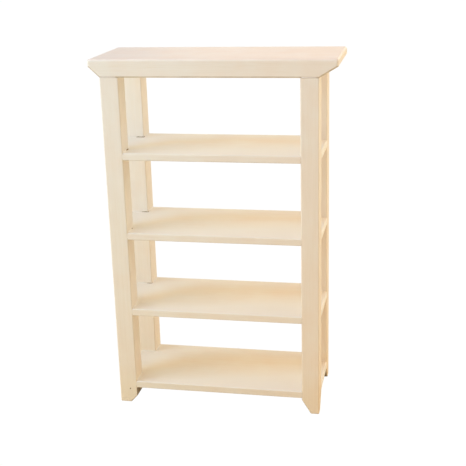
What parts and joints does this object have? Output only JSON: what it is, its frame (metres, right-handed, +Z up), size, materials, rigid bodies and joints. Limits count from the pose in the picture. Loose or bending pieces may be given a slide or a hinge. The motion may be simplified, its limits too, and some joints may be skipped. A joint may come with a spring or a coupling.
{
  "type": "miniature bookcase",
  "caption": "Dolls' house bookcase with square corner posts, open back and sides, notched shelves, a thick top board with bevelled ends, and tapered feet; cream painted wood.",
  "frame": {"origin": "on the floor, under the middle of the top board, which is 1.1 mm to the right of the middle of the posts", "axes": "+Z up, +X to the right along the shelves, +Y towards the back"},
  "size_m": [0.0842, 0.034, 0.1266],
  "materials": {
    "painted_top": "satin cream paint on fine-grained wood",
    "painted_posts": "satin cream paint on fine-grained wood",
    "painted_shelves": "satin cream paint on fine-grained wood"
  },
  "bodies": {
    "root": {"top_board": "painted_top", "front_left_post": "painted_posts", "front_right_post": "painted_posts", "back_left_post": "painted_posts", "back_right_post": "painted_posts", "bottom_shelf": "painted_shelves", "lower_middle_shelf": "painted_shelves", "upper_middle_shelf": "painted_shelves", "top_shelf": "painted_shelves"}
  },
  "joints": []
}
